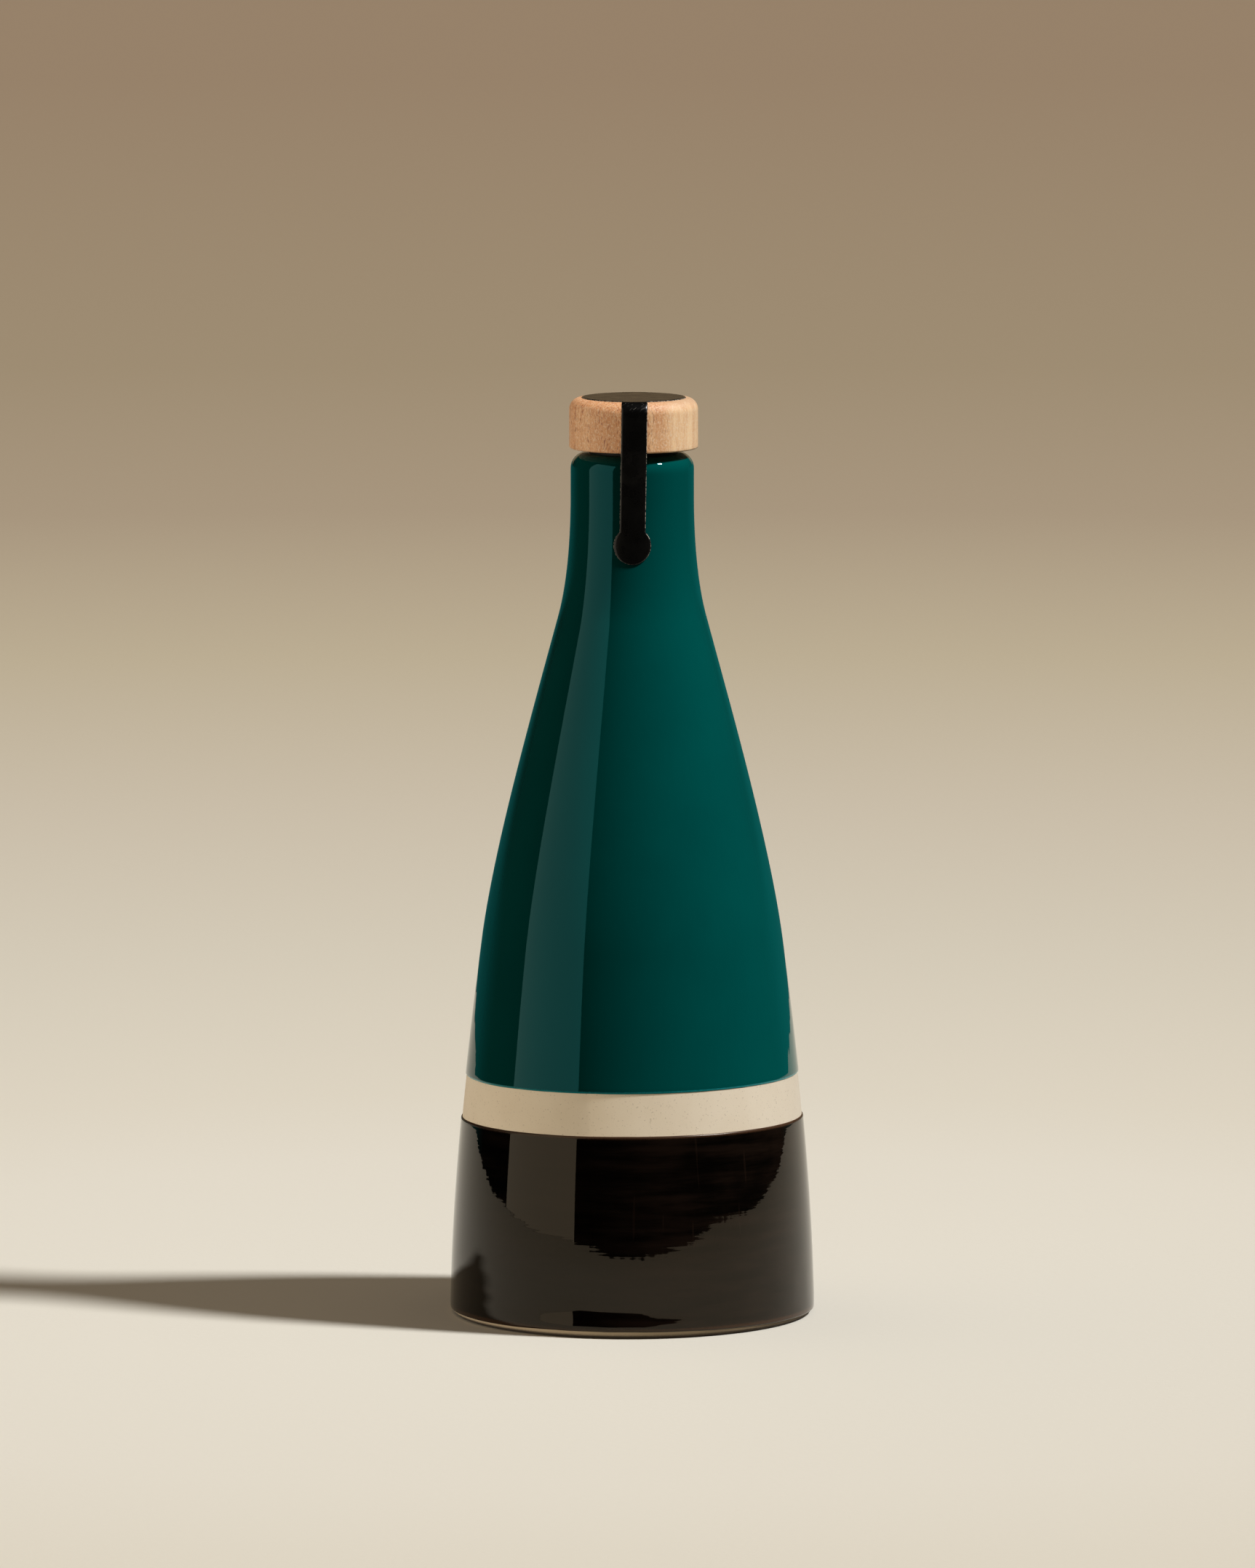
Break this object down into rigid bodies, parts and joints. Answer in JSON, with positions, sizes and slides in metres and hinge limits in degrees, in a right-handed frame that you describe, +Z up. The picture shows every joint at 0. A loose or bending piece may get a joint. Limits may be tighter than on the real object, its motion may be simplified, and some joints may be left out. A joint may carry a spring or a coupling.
{
  "type": "ceramic oil dispenser",
  "caption": "Cone-shaped stoneware oil bottle with teal and black glazes parted by a belt of bare clay, shut by a wooden stopper head under a black film seal.",
  "frame": {"origin": "centre of the bottle's foot, on the surface that it stands on", "axes": "+Z up along the bottle's axis, -Y the front, where the seal's better arm lies, +X to the right seen from the front"},
  "size_m": [0.0896, 0.0896, 0.2254],
  "materials": {
    "teal_glaze": "deep teal glaze, smooth and glossy, paler where it thins at its lower edge",
    "black_glaze": "black glaze, glossy, brown where it thins at its edges",
    "bare_clay": "unglazed buff stoneware, matte, with fine dark iron specks",
    "beech": "turned beech, sanded, with fine short pores",
    "seal_film": "thin black film, glossy, with small creases and a pale cut edge",
    "stopper": "dark synthetic plug"
  },
  "bodies": {
    "root": {"bottle": "teal_glaze", "stopper_collar": "stopper", "cap": "beech", "seal": "seal_film"}
  },
  "joints": []
}
